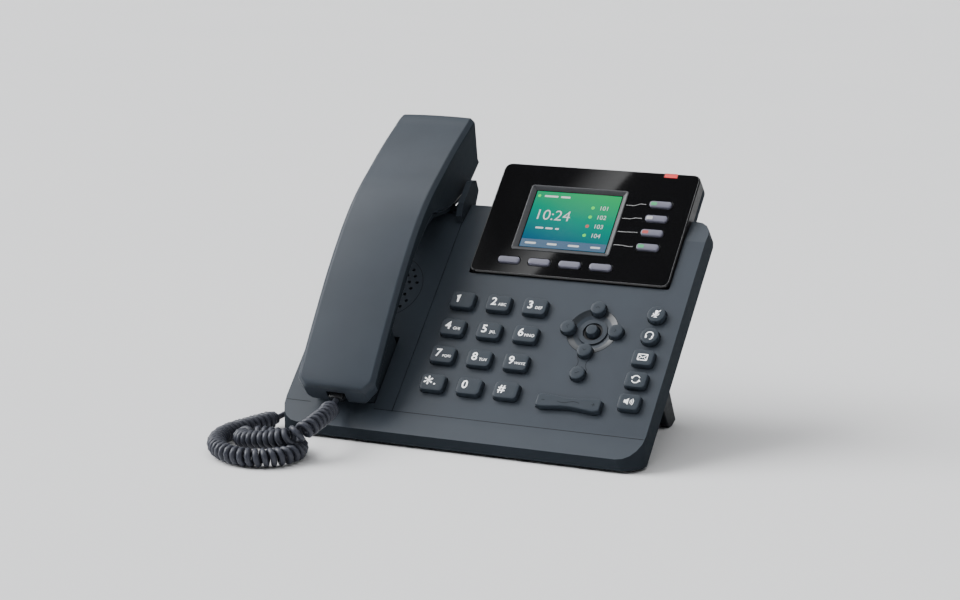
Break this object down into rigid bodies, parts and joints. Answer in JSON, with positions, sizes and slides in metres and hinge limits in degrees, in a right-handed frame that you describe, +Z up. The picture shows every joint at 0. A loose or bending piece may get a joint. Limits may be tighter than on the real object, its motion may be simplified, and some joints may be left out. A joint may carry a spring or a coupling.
{
  "type": "desk ip phone",
  "caption": "Desk phone with a sloping keypad slab on a rear stand, a raised colour display, a cradled handset and a curly cord.",
  "frame": {"origin": "on the surface the phone stands on, under the middle of the phone's box without its free cord", "axes": "+X to the right across the keypad, +Y to the rear, +Z up; the keypad face slopes up to the rear at 44 degrees"},
  "size_m": [0.2209, 0.211, 0.1538],
  "materials": {
    "slate_shell": "fine spark texture, satin",
    "dark_shell": "fine spark texture, matte",
    "keycap": "smooth satin with printed white symbols",
    "display_keycap": "translucent satin",
    "gloss_fascia": "piano black gloss",
    "display_glass": "clear, polished",
    "lcd": "lit colour panel",
    "lamp_lens": "tinted clear lens",
    "foot_rubber": "matte",
    "membrane_rubber": "matte",
    "circuit_board": "solder resist",
    "jack_metal": "stamped shield",
    "jack_plastic": "moulded, matte",
    "transducer": "pressed can",
    "clear_plug": "smoky clear",
    "cord_jacket": "soft sheen"
  },
  "bodies": {
    "base": {"front_housing": "slate_shell", "rear_housing": "dark_shell", "stand_bracket": "dark_shell", "head_rear_cover": "dark_shell", "head_bezel": "gloss_fascia", "display_window": "display_glass", "lcd_panel": "lcd", "message_led": "lamp_lens", "front_foot_left": "foot_rubber", "front_foot_right": "foot_rubber", "keypad_membrane": "membrane_rubber", "main_pcb": "circuit_board", "ethernet_jacks": "jack_metal", "dc_power_jack": "jack_plastic", "base_handset_jack": "jack_plastic", "speaker_driver": "transducer", "base_plug": "clear_plug", "handset_lead": "cord_jacket", "base_lead": "cord_jacket", "cord_coil": "cord_jacket"},
    "handset": {"handset_back_shell": "slate_shell", "handset_front_shell": "dark_shell", "handset_receiver": "transducer", "handset_microphone": "transducer", "handset_jack": "jack_plastic", "handset_plug": "clear_plug"},
    "dial_key_1": {"dial_key_1": "keycap"},
    "dial_key_2": {"dial_key_2": "keycap"},
    "dial_key_3": {"dial_key_3": "keycap"},
    "dial_key_4": {"dial_key_4": "keycap"},
    "dial_key_5": {"dial_key_5": "keycap"},
    "dial_key_6": {"dial_key_6": "keycap"},
    "dial_key_7": {"dial_key_7": "keycap"},
    "dial_key_8": {"dial_key_8": "keycap"},
    "dial_key_9": {"dial_key_9": "keycap"},
    "dial_key_star": {"dial_key_star": "keycap"},
    "dial_key_0": {"dial_key_0": "keycap"},
    "dial_key_hash": {"dial_key_hash": "keycap"},
    "nav_key_right": {"nav_key_right": "keycap"},
    "nav_key_up": {"nav_key_up": "keycap"},
    "nav_key_left": {"nav_key_left": "keycap"},
    "nav_key_down": {"nav_key_down": "keycap"},
    "nav_key_ok": {"nav_key_ok": "keycap"},
    "cancel_key": {"cancel_key": "keycap"},
    "mute_key": {"mute_key": "keycap"},
    "headset_key": {"headset_key": "keycap"},
    "message_key": {"message_key": "keycap"},
    "redial_key": {"redial_key": "keycap"},
    "speaker_key": {"speaker_key": "keycap"},
    "soft_key_1": {"soft_key_1": "display_keycap"},
    "soft_key_2": {"soft_key_2": "display_keycap"},
    "soft_key_3": {"soft_key_3": "display_keycap"},
    "soft_key_4": {"soft_key_4": "display_keycap"},
    "line_key_1": {"line_key_1": "display_keycap"},
    "line_key_2": {"line_key_2": "display_keycap"},
    "line_key_3": {"line_key_3": "display_keycap"},
    "line_key_4": {"line_key_4": "display_keycap"},
    "volume_rocker": {"volume_rocker": "keycap"},
    "hook_plunger": {"hook_plunger": "dark_shell"}
  },
  "joints": [
    {"name": "handset_lift", "type": "slide", "parent": "base", "child": "handset", "axis": [0, -0.6947, 0.7193], "range_m": [0, 0.06]},
    {"name": "hook_travel", "type": "slide", "parent": "base", "child": "hook_plunger", "axis": [0, -0.6947, 0.7193], "range_m": [0, 0.0036], "stiffness_N_per_m": 60, "springref_m": 0.006},
    {"name": "dial_key_1_press", "type": "slide", "parent": "base", "child": "dial_key_1", "axis": [0, 0.6947, -0.7193], "range_m": [0, 0.0012], "stiffness_N_per_m": 400, "springref_m": -0.001},
    {"name": "dial_key_2_press", "type": "slide", "parent": "base", "child": "dial_key_2", "axis": [0, 0.6947, -0.7193], "range_m": [0, 0.0012], "stiffness_N_per_m": 400, "springref_m": -0.001},
    {"name": "dial_key_3_press", "type": "slide", "parent": "base", "child": "dial_key_3", "axis": [0, 0.6947, -0.7193], "range_m": [0, 0.0012], "stiffness_N_per_m": 400, "springref_m": -0.001},
    {"name": "dial_key_4_press", "type": "slide", "parent": "base", "child": "dial_key_4", "axis": [0, 0.6947, -0.7193], "range_m": [0, 0.0012], "stiffness_N_per_m": 400, "springref_m": -0.001},
    {"name": "dial_key_5_press", "type": "slide", "parent": "base", "child": "dial_key_5", "axis": [0, 0.6947, -0.7193], "range_m": [0, 0.0012], "stiffness_N_per_m": 400, "springref_m": -0.001},
    {"name": "dial_key_6_press", "type": "slide", "parent": "base", "child": "dial_key_6", "axis": [0, 0.6947, -0.7193], "range_m": [0, 0.0012], "stiffness_N_per_m": 400, "springref_m": -0.001},
    {"name": "dial_key_7_press", "type": "slide", "parent": "base", "child": "dial_key_7", "axis": [0, 0.6947, -0.7193], "range_m": [0, 0.0012], "stiffness_N_per_m": 400, "springref_m": -0.001},
    {"name": "dial_key_8_press", "type": "slide", "parent": "base", "child": "dial_key_8", "axis": [0, 0.6947, -0.7193], "range_m": [0, 0.0012], "stiffness_N_per_m": 400, "springref_m": -0.001},
    {"name": "dial_key_9_press", "type": "slide", "parent": "base", "child": "dial_key_9", "axis": [0, 0.6947, -0.7193], "range_m": [0, 0.0012], "stiffness_N_per_m": 400, "springref_m": -0.001},
    {"name": "dial_key_star_press", "type": "slide", "parent": "base", "child": "dial_key_star", "axis": [0, 0.6947, -0.7193], "range_m": [0, 0.0012], "stiffness_N_per_m": 400, "springref_m": -0.001},
    {"name": "dial_key_0_press", "type": "slide", "parent": "base", "child": "dial_key_0", "axis": [0, 0.6947, -0.7193], "range_m": [0, 0.0012], "stiffness_N_per_m": 400, "springref_m": -0.001},
    {"name": "dial_key_hash_press", "type": "slide", "parent": "base", "child": "dial_key_hash", "axis": [0, 0.6947, -0.7193], "range_m": [0, 0.0012], "stiffness_N_per_m": 400, "springref_m": -0.001},
    {"name": "nav_key_right_press", "type": "slide", "parent": "base", "child": "nav_key_right", "axis": [0, 0.6947, -0.7193], "range_m": [0, 0.0012], "stiffness_N_per_m": 400, "springref_m": -0.001},
    {"name": "nav_key_up_press", "type": "slide", "parent": "base", "child": "nav_key_up", "axis": [0, 0.6947, -0.7193], "range_m": [0, 0.0012], "stiffness_N_per_m": 400, "springref_m": -0.001},
    {"name": "nav_key_left_press", "type": "slide", "parent": "base", "child": "nav_key_left", "axis": [0, 0.6947, -0.7193], "range_m": [0, 0.0012], "stiffness_N_per_m": 400, "springref_m": -0.001},
    {"name": "nav_key_down_press", "type": "slide", "parent": "base", "child": "nav_key_down", "axis": [0, 0.6947, -0.7193], "range_m": [0, 0.0012], "stiffness_N_per_m": 400, "springref_m": -0.001},
    {"name": "nav_key_ok_press", "type": "slide", "parent": "base", "child": "nav_key_ok", "axis": [0, 0.6947, -0.7193], "range_m": [0, 0.0012], "stiffness_N_per_m": 400, "springref_m": -0.001},
    {"name": "cancel_key_press", "type": "slide", "parent": "base", "child": "cancel_key", "axis": [0, 0.6947, -0.7193], "range_m": [0, 0.0012], "stiffness_N_per_m": 400, "springref_m": -0.001},
    {"name": "mute_key_press", "type": "slide", "parent": "base", "child": "mute_key", "axis": [0, 0.6947, -0.7193], "range_m": [0, 0.0012], "stiffness_N_per_m": 400, "springref_m": -0.001},
    {"name": "headset_key_press", "type": "slide", "parent": "base", "child": "headset_key", "axis": [0, 0.6947, -0.7193], "range_m": [0, 0.0012], "stiffness_N_per_m": 400, "springref_m": -0.001},
    {"name": "message_key_press", "type": "slide", "parent": "base", "child": "message_key", "axis": [0, 0.6947, -0.7193], "range_m": [0, 0.0012], "stiffness_N_per_m": 400, "springref_m": -0.001},
    {"name": "redial_key_press", "type": "slide", "parent": "base", "child": "redial_key", "axis": [0, 0.6947, -0.7193], "range_m": [0, 0.0012], "stiffness_N_per_m": 400, "springref_m": -0.001},
    {"name": "speaker_key_press", "type": "slide", "parent": "base", "child": "speaker_key", "axis": [0, 0.6947, -0.7193], "range_m": [0, 0.0012], "stiffness_N_per_m": 400, "springref_m": -0.001},
    {"name": "soft_key_1_press", "type": "slide", "parent": "base", "child": "soft_key_1", "axis": [0, 0.7071, -0.7071], "range_m": [0, 0.001], "stiffness_N_per_m": 400, "springref_m": -0.001},
    {"name": "soft_key_2_press", "type": "slide", "parent": "base", "child": "soft_key_2", "axis": [0, 0.7071, -0.7071], "range_m": [0, 0.001], "stiffness_N_per_m": 400, "springref_m": -0.001},
    {"name": "soft_key_3_press", "type": "slide", "parent": "base", "child": "soft_key_3", "axis": [0, 0.7071, -0.7071], "range_m": [0, 0.001], "stiffness_N_per_m": 400, "springref_m": -0.001},
    {"name": "soft_key_4_press", "type": "slide", "parent": "base", "child": "soft_key_4", "axis": [0, 0.7071, -0.7071], "range_m": [0, 0.001], "stiffness_N_per_m": 400, "springref_m": -0.001},
    {"name": "line_key_1_press", "type": "slide", "parent": "base", "child": "line_key_1", "axis": [0, 0.7071, -0.7071], "range_m": [0, 0.001], "stiffness_N_per_m": 400, "springref_m": -0.001},
    {"name": "line_key_2_press", "type": "slide", "parent": "base", "child": "line_key_2", "axis": [0, 0.7071, -0.7071], "range_m": [0, 0.001], "stiffness_N_per_m": 400, "springref_m": -0.001},
    {"name": "line_key_3_press", "type": "slide", "parent": "base", "child": "line_key_3", "axis": [0, 0.7071, -0.7071], "range_m": [0, 0.001], "stiffness_N_per_m": 400, "springref_m": -0.001},
    {"name": "line_key_4_press", "type": "slide", "parent": "base", "child": "line_key_4", "axis": [0, 0.7071, -0.7071], "range_m": [0, 0.001], "stiffness_N_per_m": 400, "springref_m": -0.001},
    {"name": "volume_rock", "type": "hinge", "parent": "base", "child": "volume_rocker", "pos_m": [0.0565, -0.04833, 0.02496], "axis": [0, 0.7193, 0.6947], "range_deg": [-3, 3], "stiffness_Nm_per_rad": 0.25}
  ],
  "couplings": [
    {"joint": "hook_travel", "follows": "handset_lift", "ratio": 0.06}
  ]
}
